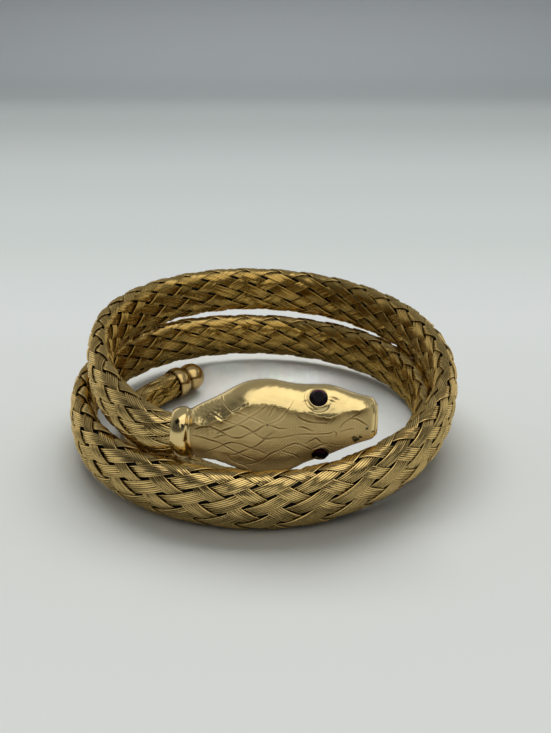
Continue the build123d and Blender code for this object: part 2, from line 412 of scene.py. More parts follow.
# Outlines of growing thickness: their girth, and the angle at each share of the way round
aspects = np.linspace(*ASPECTS)
round_angles = np.linspace(0, 2 * np.pi, 2 * GIRTH_STEPS + 1)
round_shares = np.linspace(0, 1, GIRTH_STEPS + 1)
girth_angles, girths = [], []
for aspect in aspects:
    out, up, *_ = girth_outline(round_angles, band_squareness(aspect), 1.0, aspect)
    run = np.concatenate([[0], np.cumsum(np.hypot(np.diff(out), np.diff(up)))])
    girth_angles.append(np.interp(round_shares, run / run[-1], round_angles))
    girths.append(run[-1])
girth_angles = np.array(girth_angles)
band_girths = np.interp(half_thicknesses / half_widths, aspects, girths) * half_widths


def read_line(turn, values):
    """Values kept along the band, read at any turns."""
    if values.ndim == 1:
        return np.interp(turn, turns, values)
    return np.stack([np.interp(turn, turns, column) for column in values.T], axis=-1)


def girth_angle(share, aspect):
    """Angle of the outline at a share of the way round it, between the two nearest kept aspects."""
    place_a = np.clip((aspect - aspects[0]) / (aspects[1] - aspects[0]), 0, len(aspects) - 1.001)
    place_s = np.mod(share, 1.0) * GIRTH_STEPS
    a, s = place_a.astype(int), np.minimum(place_s.astype(int), GIRTH_STEPS - 1)
    fa, fs = place_a - a, place_s - s
    near = girth_angles[a, s] * (1 - fs) + girth_angles[a, s + 1] * fs
    far = girth_angles[a + 1, s] * (1 - fs) + girth_angles[a + 1, s + 1] * fs
    return near * (1 - fa) + far * fa


def band_aspect(turn):
    """Thickness of the band over its width."""
    return read_line(turn, half_thicknesses) / read_line(turn, half_widths)


def band_surface(turn, share, lift):
    """Point of the band's skin at a turn and a share of the way round, from the outer middle up over
    the top, raised by a lift along the outline's normal."""
    half_width, half_thickness = read_line(turn, half_widths), read_line(turn, half_thicknesses)
    aspect = half_thickness / half_width
    angle, squareness = girth_angle(share, aspect), band_squareness(aspect)
    out, up, normal_out, normal_up = girth_outline(angle, squareness, half_width, half_thickness)
    out, up = out + lift * normal_out, up + lift * normal_up
    outward, upward = read_line(turn, outwards), read_line(turn, upwards)
    return read_line(turn, middles) + outward * out[..., None] + upward * up[..., None]


def height_share(turn, share):
    """Height of a place on the outline, as a share of the half width."""
    aspect = band_aspect(turn)
    return signed_power(np.sin(girth_angle(share, aspect)), 2 / band_squareness(aspect))


def keep_value(mesh, name, values):
    """Number kept at each point of a mesh, for its material to read."""
    attribute = mesh.attributes.new(name, "FLOAT", "POINT")
    attribute.data.foreach_set("value", values.reshape(-1).astype(np.float32))


def ribbon_path(way, number):
    """Count of crossings, share of the way round and turn along a ribbon's middle: it winds once round
    the tube in seven crossings, and the turn is read again with the lean at its height until it settles."""
    count = np.arange(counts[0] - 1, counts[-1] + 1, 1 / STEPS_PER_CROSSING)
    share = way * (count - number) / RIBBONS
    turn = np.interp(count, counts, turns)
    for _ in range(LEAN_PASSES):
        turn = np.interp(count - LEAN * height_share(turn, share), counts, turns)
    inside = (turn > turns[0]) & (turn < turns[-1])
    return count[inside], share[inside], turn[inside]


def ribbon_mesh(name, way, number, draws):
    """A ribbon of points across its path, a ridge to each wire and a furrow between. It sinks and rises
    as a flattened cosine of the other way's crossings, and its wires stray by slow sines of random
    phase; two hidden points below its edges give it a thickness."""
    count, share, turn = ribbon_path(way, number)
    girth, length = read_line(turn, band_girths), read_line(turn, lengths)
    run, climb = np.gradient(length), np.gradient(share) * girth
    size = np.hypot(run, climb)
    run, climb = run / size, climb / size
    ribbon_width = np.minimum(RIBBON_WIDTH, RIBBON_SHARE * np.abs(climb) * read_line(turn, pitches))
    ribbon_width *= 1 + WIDTH_WANDER * np.sin(WIDTH_RATE * count + WIDTH_STEP * number + way)

    lane = np.arange(2 * WIRES + 1)
    phase = draws.uniform(0, 2 * np.pi, (3, len(lane)))
    along = count[:, None]
    wander = sum(np.sin(along * rate + phase[k]) for k, rate in enumerate(WANDER_RATES)) / 3
    sideways = lane / (2 * WIRES) - 0.5 + WIRE_WANDER * wander * (1 - np.abs(lane / WIRES - 1) ** 4)
    underside = np.full((len(count), 2), UNDERSIDE_HALF) * [1, -1]
    sideways = np.concatenate([sideways, underside], axis=1) * ribbon_width[:, None]
    turn_there = np.interp(length[:, None] - sideways * climb[:, None], lengths, turns)
    share_there = share[:, None] + sideways * run[:, None] / girth[:, None]
    count_there = read_line(turn_there, counts) + LEAN * height_share(turn_there, share_there)
    level = -way * (-1) ** number * np.cos(np.pi * (count_there + way * RIBBONS * share_there))
    level = np.tanh(WEAVE_FLATNESS * level) / np.tanh(WEAVE_FLATNESS)

    ridge = np.where(lane % 2 == 1, 1.0, -1.0)
    ridge[[0, -1]] = -EDGE_DROP
    uneven = np.sin(along * UNEVEN_RATE + phase[1]) * (lane % 2)
    relief = WIRE_RIDGE * (ridge + WIRE_UNEVEN * uneven)
    below = np.full((len(count), 2), -RIBBON_DEPTH)
    lift = WEAVE_LEVEL + WEAVE_WAVE * level + np.concatenate([relief, below], axis=1)
    mesh = grid_mesh(name, band_surface(turn_there, share_there, lift), wrap_columns=True, close_ends=True)

    each_wire = np.sin(phase[1] * 5 + 0.8 * np.sin(SLOW_RATE * along + phase[0])) * (lane % 2)
    # Painted shade and highlight from the ribbon's level and the wires' ridges, and each wire's own tone
    bright = BRIGHT_MEAN + PAINTED_LIGHT_BY_LEVEL * level[:, :-2] + PAINTED_LIGHT_BY_RIDGE * ridge + WIRE_CONTRAST * each_wire
    keep_value(mesh, "depth", np.concatenate([bright, 0 * below], axis=1))
    inner = -np.cos(girth_angle(share_there, band_aspect(turn_there)))[:, :-2]
    kept = 1 - LIT_SHARE * bell(turn[:, None], LIT_TURN, LIT_REACH)
    cloud = 1 + np.sin(along * SLOW_RATE + phase[2]) * np.sin(phase[0] * 3)
    shade_and_wear = INWARD_PAINTED_SHADE * kept * np.clip(INWARD_SHADE_GAIN * inner - INWARD_SHADE_START, 0, 1) + WEAR_MEAN * cloud
    keep_value(mesh, "shade_and_wear", np.concatenate([shade_and_wear, 0 * below], axis=1).clip(0, 1))
    return mesh


def mix_colours(tree, factor, first, second, blend_type="MIX"):
    """Output with a first colour that turns into a second by a factor."""
    inputs = {"Factor": factor, "A": first, "B": second}
    mix = add_node(tree, "ShaderNodeMix", inputs, data_type="RGBA", blend_type=blend_type)
    return mix.outputs["Result"]


def math_output(tree, operation, *numbers, **settings):
    """Output of arithmetic on numbers, each a value or an output."""
    node = add_node(tree, "ShaderNodeMath", enumerate(numbers), operation=operation, **settings)
    return node.outputs["Value"]


def kept_value(tree, name):
    """Output with the number that a mesh keeps at its points under a name."""
    return add_node(tree, "ShaderNodeAttribute", attribute_name=name).outputs["Fac"]


def noise(tree, scale, **look):
    """Output of cloudy noise at a scale, fixed to the object."""
    inputs = {"Vector": object_place(tree), "Scale": scale, **look}
    return add_node(tree, "ShaderNodeTexNoise", inputs).outputs["Fac"]


# Gold's tone: dark where a mesh's kept value is low and bright where it is high, which carries painted
# shade and painted highlight, and dark lines and joints, into the colour, with clouds of wear between
gold_tone = bpy.data.node_groups.new("gold_tone", "ShaderNodeTree")
for way, kind, sockets in (
    ("INPUT", "NodeSocketColor", ("Bright", "Dark")),
    ("INPUT", "NodeSocketFloat", ("Raised", "Cloud Size")),
    ("OUTPUT", "NodeSocketColor", ("Color",)),
    ("OUTPUT", "NodeSocketFloat", ("Clouds",)),
):
    for socket in sockets:
        gold_tone.interface.new_socket(socket, in_out=way, socket_type=kind)
given = add_node(gold_tone, "NodeGroupInput").outputs
clouds = noise(gold_tone, given["Cloud Size"], **CLOUD_LOOK)
clouded = math_output(gold_tone, "MULTIPLY_ADD", clouds, CLOUD_SHIFT, given["Raised"])
share = math_output(gold_tone, "SUBTRACT", clouded, CLOUD_SHIFT / 2, use_clamp=True)
blend = mix_colours(gold_tone, share, given["Dark"], given["Bright"])
add_node(gold_tone, "NodeGroupOutput", {"Color": blend, "Clouds": clouds})


def gold_material(name, bright, dark, cloud_size, smooth, rough):
    """Gold plate: brightest where its mesh's kept value is high and darkest where it is low, which paints
    highlight and shade into it, with cloudy wear in colour and gloss. Its tree, its shader, and the
    outputs with its colour and its dullness come with it."""
    material, tree, shader = new_material(name)
    look = {"Raised": kept_value(tree, "depth"), "Bright": bright, "Dark": dark, "Cloud Size": cloud_size}
    tone = add_node(tree, "ShaderNodeGroup", look, node_tree=gold_tone).outputs
    dullness = map_range(tree, tone["Clouds"], 0, 1, smooth, rough)
    feed(tree, shader, {"Base Color": tone["Color"], "Roughness": dullness, "Metallic": 1.0})
    return material, tree, shader, tone["Color"], dullness


wire_gold, tree, shader, colour, _ = gold_material(
    "wire_gold", GOLD_BRIGHT, GOLD_PAINTED_SHADE, cloud_size=420, smooth=0.19, rough=0.36
)
# Painted shade of the inward side and the plating's wear, as one darker tint
shaded_and_worn = mix_colours(tree, kept_value(tree, "shade_and_wear"), colour, SHADE_AND_WEAR_TINT, "MULTIPLY")
feed(tree, shader, {"Base Color": shaded_and_worn, "Specular Tint": GOLD_SHEEN})
draws = np.random.default_rng(WEAVE_SEED)
for way, side in ((1, "rising"), (-1, "falling")):
    for number in range(RIBBONS):
        name = f"ribbon_{side}_{number + 1}"
        ribbon = place(name, ribbon_mesh(name, way, number, draws), wire_gold)
        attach(ribbon, "root")
        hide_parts("woven_band")

# Core of the band

# The springy strip inside the plaited tube, dull, and near black as painted shade of the tube's
# hollow inside. It only shows as the black of the small gaps between ribbons, and ends inside the
# collar and the cap.
CORE_LEVEL = -0.95
CORE_END = 0.5
CORE_ROWS = 540
CORE_COLUMNS = 32
CORE_PAINTED_SHADE = (0.018, 0.013, 0.008, 1)
CORE_SHADE_MOTTLE = (0.05, 0.035, 0.015, 1)
CORE_MOTTLE_SCALE = 900
CORE_ROUGHNESS = 0.8

core_dark, tree, shader = new_material("core_dark")
mottled_shade = mix_colours(tree, noise(tree, CORE_MOTTLE_SCALE), CORE_PAINTED_SHADE, CORE_SHADE_MOTTLE)
feed(tree, shader, {"Base Color": mottled_shade, "Roughness": CORE_ROUGHNESS})

core_turns = np.linspace(turns[0] + CORE_END, turns[-1] - CORE_END, CORE_ROWS)
core_shares = np.arange(CORE_COLUMNS) / CORE_COLUMNS
core_places = np.meshgrid(core_turns, core_shares, indexing="ij")
core_points = band_surface(*core_places, CORE_LEVEL)
core_mesh = grid_mesh("woven_core", core_points, wrap_columns=True, close_ends=True)
core = place("woven_core", core_mesh, core_dark)
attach(core, "root")
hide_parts("woven_band")

# Cast head

# One casting of gilt metal, flat like the band it ends: a rolled collar that takes the
# band, a neck, a face of engraved scales with polished cheeks, and a blunt snout. Its
# side toward the wrist is plain.
HEAD_Y = -27.14
HEAD = [
    # station, middle, half width, outward, inward
    (-13.6, 12.10, 3.62, 2.50, 2.60),
    (-13.2, 12.10, 3.88, 2.76, 2.80),
    (-12.6, 12.10, 4.10, 2.97, 2.97),
    (-12.0, 12.12, 4.16, 3.03, 3.00),
    (-11.5, 12.15, 4.05, 2.90, 2.90),
    (-11.05, 12.22, 3.76, 2.53, 2.55),
    (-10.6, 12.32, 3.70, 2.40, 2.42),
    (-10.2, 12.40, 3.82, 2.45, 2.45),
    (-8.5, 12.70, 4.40, 2.65, 2.60),
    (-6.3, 13.05, 5.10, 2.95, 2.75),
    (-4.5, 13.19, 6.09, 3.15, 2.85),
    (-2.5, 13.32, 7.06, 3.30, 2.95),
    (0.0, 13.29, 7.58, 3.35, 3.00),
    (2.3, 13.28, 7.48, 3.30, 3.00),
    (4.2, 13.30, 6.90, 3.25, 2.95),
    (6.5, 13.68, 6.28, 3.15, 2.90),
    (8.4, 14.02, 5.96, 3.00, 2.80),
    (10.5, 14.38, 5.53, 2.80, 2.60),
    (12.5, 14.45, 4.63, 2.50, 2.35),
    (14.2, 14.48, 3.97, 2.25, 2.15),
    (15.6, 14.54, 3.56, 2.05, 1.95),
    (16.6, 14.53, 3.18, 1.80, 1.75),
    (17.2, 14.40, 2.40, 1.30, 1.30),
]
HEAD_SQUARENESS = 2.2
HEAD_SMOOTHING = 1.3
SNOUT_X = 17.3
# Stations stand closer in the collar and at the snout: first, last and count of each run
HEAD_RUNS = ((-13.6, -10.6, 44), (-10.52, 16.4, 306), (16.44, 17.2, 20))
# Columns stand closer on the outward face, as angles from straight outward
HEAD_ANGLES = ((262, 98, 38), (92, -92, 217))
# Recess in the collar, sizes of the rings that close it and the snout, and its rings at the
# mouth: station and share of the collar's slant
SOCKET_X = -12.45
SOCKET_HALF = 3.50
SOCKET_REACH = 2.42
SOCKET_SQUARENESS = 2.5
SOCKET_SIZES = (0.002, 0.5, 1.0)
MOUTH_RINGS = ((-13.0, 0.5), (-13.6, 1.0))
SNOUT_SIZES = (0.8, 0.5, 0.25, 0.002)
# Ridge between the scaled face and the polished cheeks, as a share of the half width
RIDGE = [
    # station, share
    (-13.6, 0.60),
    (-10.0, 0.62),
    (-8.8, 0.48),
    (-7.8, 0.45),
    (-6.7, 0.52),
    (-5.6, 0.46),
    (-4.5, 0.55),
    (-3.3, 0.595),
    (-1.9, 0.645),
    (1.0, 0.645),
    (2.7, 0.62),
    (4.6, 0.565),
    (6.8, 0.50),
    (8.5, 0.40),
    (9.7, 0.34),
    (10.6, 0.365),
    (11.6, 0.44),
    (12.9, 0.55),
    (14.4, 0.60),
    (15.3, 0.70),
    (15.8, 0.78),
    (17.2, 1.00),
]
LOWER_RIDGE = 0.93
# How the ridge wavers: by what share, at what rate in radians a millimetre, and from where
RIDGE_WAVER = ((0.010, 4.3, 0.0), (0.007, 9.1, 1.0))
# Engraved lines of the scales: station and rise of the points that each runs through
SCALE_LINES = [
    [(-7.6, 3.5), (-7.0, 3.4), (-5.7, 2.7), (-3.4, 1.8), (-2.2, 1.3), (-0.9, 0.4), (0.4, -0.4),
     (1.9, -0.3), (2.7, -0.3), (4.6, 0.0), (6.1, -0.1), (8.3, -0.6), (9.9, -0.8), (10.6, -0.5)],
    [(-5.9, 5.8), (-5.7, 5.3), (-5.2, 4.6), (-4.2, 3.8), (-3.1, 3.5), (-1.8, 3.0), (-0.2, 2.3),
     (1.9, 1.5), (2.7, 1.2), (4.0, 1.2)],
    [(-6.8, 0.3), (-6.0, 0.8), (-4.9, 1.2), (-3.7, 1.7), (-1.9, 2.8), (-0.5, 3.7), (0.8, 4.7)],
    [(-5.9, 2.9), (-4.5, 3.6), (-3.3, 4.2), (-1.9, 4.9)],
    [(1.0, 3.1), (1.6, 4.1), (2.1, 4.7)],
    [(-7.2, -0.3), (-5.3, 0.2), (-4.3, -0.2), (-3.1, -0.3), (-2.1, 0.2), (-0.9, 0.8), (0.4, 1.7),
     (2.4, 2.5), (3.5, 3.6), (4.3, 4.5), (4.7, 5.1)],
    [(-8.1, -2.7), (-7.2, -2.3), (-6.1, -1.8), (-5.2, -1.3), (-4.2, -1.1), (-3.1, -1.4),
     (-1.5, -2.1), (-0.5, -2.5), (0.7, -3.1)],
    [(-5.0, -3.6), (-3.8, -3.3), (-2.9, -2.8), (-2.0, -2.3), (-0.9, -1.8), (0.1, -0.9), (1.0, 0.1),
     (1.9, 0.7)],
    [(-10.2, 0.6), (-8.9, 0.1), (-7.4, -0.6), (-6.1, -1.2), (-4.6, -2.3), (-3.2, -3.2),
     (-2.0, -3.9), (-0.7, -4.4)],
    [(-10.2, 1.4), (-8.8, 1.7), (-7.8, 1.7), (-7.2, 1.5), (-6.0, 0.8), (-4.9, 0.1)],
    [(-2.7, -5.5), (-1.3, -5.1), (0.1, -4.3), (1.4, -3.1), (2.7, -2.4), (4.5, -1.5), (5.5, -1.7),
     (6.7, -2.6), (7.5, -3.3)],
    [(-5.0, -3.5), (-4.4, -4.7), (-2.7, -5.5), (-1.6, -6.3)],
    [(2.7, -2.4), (3.8, -3.0), (4.8, -3.5), (5.9, -4.7)],
    [(5.4, 1.2), (6.1, 1.0), (7.1, 0.4), (7.7, 0.1)],
    [(6.4, -1.9), (7.4, -1.4), (8.0, -1.2), (8.9, -2.2), (10.0, -2.6)],
    [(10.1, 0.8), (10.7, 1.6)],
    [(11.4, -0.1), (12.1, 0.7), (12.8, 1.1), (14.4, 2.0)],
    [(10.6, -0.5), (11.0, -1.0), (10.8, -1.7)],
    [(11.5, -0.8), (12.9, -0.5), (13.6, -0.5)],
    [(10.1, -2.5), (11.0, -3.1), (12.3, -3.3), (13.9, -3.6)],
    [(7.5, -3.0), (8.7, -2.6), (10.0, -2.6)],
    [(5.2, 3.2), (5.6, 2.6), (6.8, 1.8), (8.2, 1.3), (9.7, 0.9)],
    [(12.9, 1.2), (14.0, 1.0), (15.0, 0.3), (16.0, -0.5)],
    [(6.0, 4.7), (6.9, 4.85)],
    [(9.6, 4.65), (10.3, 4.45), (11.4, 3.95)],
    [(9.7, 4.3), (10.1, 4.1), (10.8, 3.75)],
]
LINE_WIDTH = 0.11
LINE_END_STEP = (-0.3, 0.7)
LIP_PLACE = (0.23, 0.10)
PILLOW_WIDTH = 0.5
# How marks falter along the head: their mean strength, the rate and the start
LINE_FALTER = (0.75, 2.1)
GROOVE_FALTER = (0.6, 2.3)
BURR_FALTER = (0.5, 1.7, 1.0)
SHADE_FALTER = (0.7, 1.3)
# Stretches along the head: the stations where each starts, is full, starts to fade and ends
SMOOTHED = (-10.4, -8.0, 14.0, 16.0)
FACE = (-10.9, -10.4, 16.0, 16.5)
ENGRAVED = (-10.9, -10.1, 15.3, 16.5)
NECK = (-10.9, -10.3, -8.0, -6.2)
NECK_SIDE = (-10.9, -10.3, -7.0, -5.0)
FULL_BELOW = (-10.3, -6.5, 3.5, 8.0)
# The neck's dimples by their distance inside the ridge, and a low lobe behind a slanting edge
NECK_INSIDE = (-2.2, -0.2, -0.3, 1.0)
LOBE_EDGE = (4.6, 0.5)
LOBE_INSIDE = (0, -0.5)
# Eased steps: where each starts and where it is full
OUTWARD_STEP = (0.0, 0.12)
FACE_STEP = (0.05, 0.35)
SHADE_STEP = (0.0, 0.15)
UPPER_STEP = (-1.0, 1.0)
LOW_STEP = (0.55, 0.85)
LOWER_STEP = (0.07, 0.53)
LOWER_CREST_STEP = (7.5, 4.0)
LOBE_STEP = (-5.6, -4.4)
COLLAR_STEP = (-10.5, -11.0)
COLLAR_SLANT_STEP = (-9.3, -11.7)
LIT_RISE_STEP = (1.2, 2.6)
LIT_STATION_STEP = (5.0, 3.0)
EYE_SHADE_STEP = (4.0, 6.5)
HATCH_STEP = (-3.0, 4.0)
# Lines along the ridge and round the head: distance inside it or station, width, and strength if given
GROOVE_PLACE = (0.14, 0.10)
BURR_PLACE = (0.36, 0.12)
SHADE_WIDTH = 0.9
SNOUT_LINE = (16.78, 0.07)
COLLAR_LINES = ((-11.0, 0.10, 1.0), (-10.55, 0.08, 0.5))
CREST_FALL = 1.5
CREST_FADE = 0.55
# The lower half is fuller than the oval, its edge is tucked in, and the collar leans forward there
LOWER_FULLNESS = 0.93
LOWER_SQUARENESS = 9.0
LOWER_TUCK = 1.00
COLLAR_SLANT = 0.24
# Hills and hollows: the waves along and across the head, and how each one sways or leans
HILLS = {
    # along, its sway, the sway's rate; across, its sway, the sway's rate and start; lean
    "dimples": (9.3, 1.7, 4.9, 10.1, 2.2, 3.9, 0, 0),
    "hammering": (5.3, 2.6, 3.1, 6.1, 1.9, 2.7, 1, 0),
    "ripples": (3.1, 1.5, 2.3, 3.7, 0, 0, 0, -1.1),
    "unevenness": (1.1, 2.0, 0.8, 1.7, 0, 0, 0, -0.6),
}
# Stains, and two dark spots on the collar that are painted reflections, whose ragged edge fades between
# two shares of their size
SPOT_STEP = (1.3, 0.6)
SPOT_RAGGED = 0.25
STAINS_AND_REFLECTIONS = [
    # station, rise, size
    (14.0, -2.55, 0.5),
    (13.6, -2.0, 0.25),
    (14.6, -2.1, 0.3),
    (15.5, -0.7, 0.22),
    (16.5, -1.3, 0.2),
    (0.9, 1.75, 0.15),
    # Painted reflections: two dark spots on the collar
    (-12.6, 3.0, 0.3),
    (-11.8, 2.5, 0.25),
]
EYES = [
    # station, rise as a share of the half width, tilt up from straight outward, folds round it
    (8.3, 0.80, 49.0, 1.0),
    (8.7, -0.74, -41.0, 0.2),
]
# Eye seats: how far each stands out, its pit, its rim, the flat round it, and the head's depth behind it
EYE_LIFT = 0.15
SEAT_RADIUS = 1.27
SEAT_DEPTH = 0.90
RIM_PLACE = (1.38, 0.10)
RIM_RELIEF = 0.06
FLAT_START = 1.7
FLAT_FOLDED = 0.4
FLAT_FULL = 1.4
FLAT_LEVEL = 0.06
FLAT_SHARE = 0.8
EYE_SIDE = 2.2
# Folds round the eye toward its back corner and how dark they are, the dirt in its ring, and the polish
# near it
FOLDS = ((1.66, 0.08, 1.0), (2.05, 0.09, 0.8))
FOLD_RELIEF = 0.045
FOLD_STEP = (0.2, 0.8)
CORNER_BACK = -0.6
CORNER_DOWN = -0.8
FOLD_DARKENING = 0.6
DIRT_RING = (1.28, 0.07)
POLISH_REACH = 2.1
EYE_POLISH = 0.9
# Brightness of the undarkened metal, of the recess (painted shade) and of the snout's end; roughness that
# full polish adds
UNDARKENED_BRIGHT = 0.78
END_BRIGHT = (0.1, 0.7)
END_POLISH = (0.2, 0.9)
POLISH_DULLNESS = -0.31
HEAD_BRIGHT = (0.94, 0.73, 0.34, 1)
HEAD_DARK = (0.16, 0.095, 0.03, 1)
STAIN_AND_REFLECTION_TONE = (0.05, 0.045, 0.025, 1)
HATCH_SLANTS = (40, -42)
HATCH_STROKES = {"Scale": 950, "Distortion": 1.5, "Detail Scale": 0.3}
HATCH_DEPTH = 0.00005


def ease(value, start, full):
    """Ease from 0 at the start to 1 where it is full, on either side of the start."""
    s = np.clip((value - start) / (full - start), 0, 1)
    return s * s * (3 - 2 * s)


def stretch(value, start, full, fading, end):
    """1 between two values, eased to 0 at the start and at the end."""
    return ease(value, start, full) * ease(value, end, fading)


def head_outline(station, angle):
    """Plain head: at each station a rounded oval, thicker outward than inward, its measures averaged over
    nearby stations between the collar and the snout. Gives its point and outward normal, and its
    rise, half width and outward thickness."""
    spread = HEAD_SMOOTHING * stretch(station, *SMOOTHED)
    nearby = [smooth_rows(HEAD, station + spread * share) for share in np.linspace(-1, 1, 7)]
    middle, half, outward, inward = sum(nearby) / len(nearby)
    depth = np.where(np.cos(angle) >= 0, outward, inward)
    out, up, normal_out, normal_up = girth_outline(angle, HEAD_SQUARENESS, half, depth)
    point = np.stack([CENTRE[0] + station, CENTRE[1] + HEAD_Y - out, CENTRE[2] + middle + up], axis=-1)
    return point, np.stack([0 * out, -normal_out, normal_up], axis=-1), up, half, outward


def collar_slant(rise):
    """Forward shift of the collar: its lower half leans forward down to 4 mm, its upper half by less."""
    return COLLAR_SLANT * np.where(rise < 0, np.minimum(-rise, 4), 0.4 * rise)


def line_distance(station, rise, line):
    """Distance from each place on the face to a smooth curve through a line's points, and how far
    inside the curve's ends the nearest point is."""
    rows = np.column_stack([np.arange(len(line)), line])
    curve = smooth_rows(rows, np.linspace(0, len(line) - 1, 8 * len(line))).T
    gaps = np.hypot(station[..., None] - curve[:, 0], rise[..., None] - curve[:, 1])
    nearest = gaps.argmin(axis=-1)
    walked = np.concatenate([[0], np.cumsum(np.hypot(*np.diff(curve, axis=0).T))])
    return gaps.min(axis=-1), np.minimum(walked[nearest], walked[-1] - walked[nearest])


def hills(station, rise, along, sway, sway_rate, across, bend, bend_rate, bend_start, lean):
    """A sine along the head that sways with the rise, times a sine across it that bends or leans."""
    lengthwise = np.sin(along * station + sway * np.sin(sway_rate * rise))
    bent = bend * np.sin(bend_rate * station + bend_start) + lean * station
    return lengthwise * np.sin(across * rise + bent)


def falter(station, mean, rate, start=0):
    """Strength of up to 1 that rises and falls along the head about its mean, as a sine."""
    return mean + (1 - mean) * np.sin(rate * station + start)


head_stations = np.concatenate([np.linspace(*run) for run in HEAD_RUNS])
head_angles = np.radians(np.concatenate([np.linspace(*run) for run in HEAD_ANGLES]))
station, angle = np.meshgrid(head_stations, head_angles, indexing="ij")
skin, skin_normal, rise, half, outward = head_outline(station, angle)
share = np.abs(rise) / half
mean_ridge = smooth_rows(RIDGE, station)[0]
mean_ridge = np.where(rise < 0, np.maximum(mean_ridge, LOWER_RIDGE), mean_ridge)
ridge_share = mean_ridge + sum(part * np.sin(rate * station + start) for part, rate, start in RIDGE_WAVER)
inside = (ridge_share - share) * half

# Parts of the surface, from 0 outside each to 1 within
outward_face = ease(np.cos(angle), *OUTWARD_STEP)
upper_half = ease(rise, *UPPER_STEP)
low = ease(-rise / half, *LOW_STEP) * outward_face
lower = ease(-rise / half, *LOWER_STEP) * outward_face * stretch(station, *FULL_BELOW)
face = ease(inside, *FACE_STEP) * outward_face * stretch(station, *FACE)
engraved = stretch(station, *ENGRAVED) * outward_face
neck = stretch(station, *NECK) * outward_face * stretch(inside, *NECK_INSIDE)
neck_side = stretch(station, *NECK_SIDE) * outward_face * upper_half
# Where engraved lines and their lips catch the light, painted lighter
catching_light = ease(rise, *LIT_RISE_STEP) * ease(station, *LIT_STATION_STEP)
lobe = ease(station + LOBE_EDGE[1] * (rise - LOBE_EDGE[0]), *LOBE_STEP)
lobe *= ease(inside, *LOBE_INSIDE)

# Engraved lines, fainter and fuller along their length, with a lip beside each
nearest_line = np.full(station.shape, np.inf)
lines, lips = np.zeros(station.shape), np.zeros(station.shape)
for number, line in enumerate(SCALE_LINES):
    gap, walked = line_distance(station, rise, line)
    strength = falter(station, *LINE_FALTER, 3 * number) * ease(walked, *LINE_END_STEP)
    lines = np.maximum(lines, strength * bell(gap, 0, LINE_WIDTH))
    lips = np.maximum(lips, strength * bell(gap, *LIP_PLACE))
    nearest_line = np.minimum(nearest_line, gap)
lines *= engraved
lips *= engraved * (1 - lines)

# Ridge: a crest that falls off on both sides, with a groove, a burr and painted shade inside it
along_ridge = engraved * upper_half
groove = bell(inside, *GROOVE_PLACE) * along_ridge * falter(station, *GROOVE_FALTER)
burr = bell(inside, *BURR_PLACE) * along_ridge * falter(station, *BURR_FALTER)
shade = ease(inside, *SHADE_STEP) * bell(np.maximum(inside, 0), 0, SHADE_WIDTH)
shade *= along_ridge * falter(station, *SHADE_FALTER, rise)
crest = np.clip((1 - share) / np.maximum(1 - mean_ridge, 0.05), 0, 1) ** CREST_FALL
crest *= np.exp(-np.maximum(inside, 0) / CREST_FADE) * outward_face * engraved
waves = {name: hills(station, rise, *rates) for name, rates in HILLS.items()}

# What each feature does to the surface where it lies
features = [
    # relief in millimetres, how much it darkens the colour (painted shade, dark lines and joints, and
    # painted light where it lightens), polish that it adds, where it lies
    (0, 0.22, -0.85, face),
    (-0.09, 0.75, 0, lines),
    # Lines that catch the light are lighter: painted highlight
    (0, -0.50, 0, lines * catching_light),
    # The lip beside each line is lighter: painted highlight
    (0.035, -0.18, 0, lips),
    (0, -0.20, 0, lips * catching_light),
    (0.02, 0, 0, (1 - bell(nearest_line, 0, PILLOW_WIDTH)) * face),
    (0.62, 0, 0, crest * upper_half),
    (0.35, 0, 0, crest * (1 - upper_half) * ease(station, *LOWER_CREST_STEP)),
    # The groove and the shade inside the ridge are darker: painted shade
    (-0.06, 0.35, 0, groove),
    (0.05, 0, 0, burr),
    (0, 0.30, 0, shade),
    (0, 0.25, 0, shade * ease(station, *EYE_SHADE_STEP)),
    (0, 0, -0.35, neck),
    (0.018, 0, 0, waves["dimples"] * neck),
    (0, 0.11, 0, neck_side),
    (0.024, -0.11, 0, waves["hammering"] * neck_side),
    (0.008, 0, 0, waves["ripples"] * engraved),
    (0.020, 0, 0, waves["unevenness"] * engraved),
    (0.04, 0, 0, lobe * outward_face * engraved),
    # The lower edge is lighter: painted light against the band's dark reflection below
    (0, -0.42, -0.70, low),
    (-0.10, 0.55, 0, bell(station, *SNOUT_LINE) * outward_face),
    (-0.015, 0.50, 0, sum(strength * bell(station, *where) for *where, strength in COLLAR_LINES)),
    (0, 0, 0.20, ease(station, *COLLAR_STEP)),
]
lift, darkening, shine = sum(np.multiply.outer(effects, where) for *effects, where in features)
shine = 1 + shine
stain_and_reflection = np.zeros(station.shape)
for spot_station, spot_rise, size in STAINS_AND_REFLECTIONS:
    reach = np.hypot(station - spot_station, rise - spot_rise) / size
    reach *= 1 + SPOT_RAGGED * np.sin(9 * station + 7 * rise)
    stain_and_reflection = np.maximum(stain_and_reflection, ease(reach, *SPOT_STEP) * outward_face)

# The skin raised by its relief, its lower half filled out toward a squarer oval, and the collar slanted
points = skin + skin_normal * lift[..., None]
oval, fuller = (np.clip(1 - share**n, 0, 1) ** (1 / n) for n in (HEAD_SQUARENESS, LOWER_SQUARENESS))
points[..., 1] -= lower * (fuller - oval) * LOWER_FULLNESS * outward
points[..., 2] += lower * LOWER_TUCK * share**2
points[..., 0] += collar_slant(rise) * ease(station, *COLLAR_SLANT_STEP)

